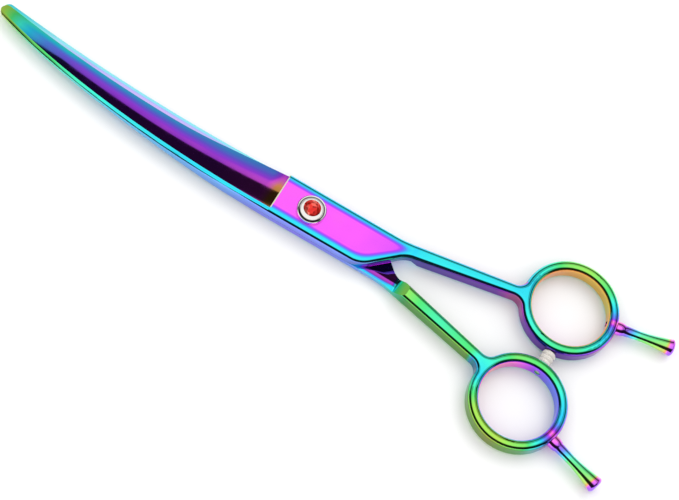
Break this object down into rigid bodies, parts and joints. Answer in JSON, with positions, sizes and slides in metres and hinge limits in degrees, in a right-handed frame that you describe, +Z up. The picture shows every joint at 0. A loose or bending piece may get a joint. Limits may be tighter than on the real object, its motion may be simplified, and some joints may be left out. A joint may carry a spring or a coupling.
{
  "type": "curved grooming shears",
  "caption": "Curved pet-grooming shears with a rainbow coat: two plain upward-curved blades on a jewelled tension pivot, finger rings with a bumper and screw-in finger rests.",
  "frame": {"origin": "where the pivot axis meets the flat back of the rear half, the plane that the closed shears lie on", "axes": "+X from the pivot to the finger rings, +Y towards the front half's ring and the side that the tips curve to, +Z up along the pivot axis towards the tension nut"},
  "size_m": [0.2067, 0.0598, 0.0084],
  "materials": {
    "coated_steel": "mirror-polished steel with a rainbow titanium coat",
    "steel": "plain turned steel",
    "spring_steel": "plain spring steel",
    "polished_nut": "polished chrome plate",
    "red_glass": "cut red glass",
    "nylon": "white nylon",
    "bumper_rubber": "soft translucent silicone"
  },
  "bodies": {
    "rear": {"rear_half": "coated_steel", "pivot_bolt": "steel", "glide_washer": "nylon", "bumper": "bumper_rubber", "finger_rest_rear": "coated_steel"},
    "front": {"front_half": "coated_steel", "spring_washer": "spring_steel", "finger_rest_front": "coated_steel"},
    "nut": {"tension_nut": "polished_nut", "jewel": "red_glass"}
  },
  "joints": [
    {"name": "blade_pivot", "type": "hinge", "parent": "rear", "child": "front", "pos_m": [0, 0, 0.00278], "axis": [0, 0, 1], "range_deg": [0, 85]},
    {"name": "tension_adjust", "type": "hinge", "parent": "rear", "child": "nut", "pos_m": [0, 0, 0.0065], "axis": [0, 0, 1], "range_deg": [-60, 60]}
  ]
}
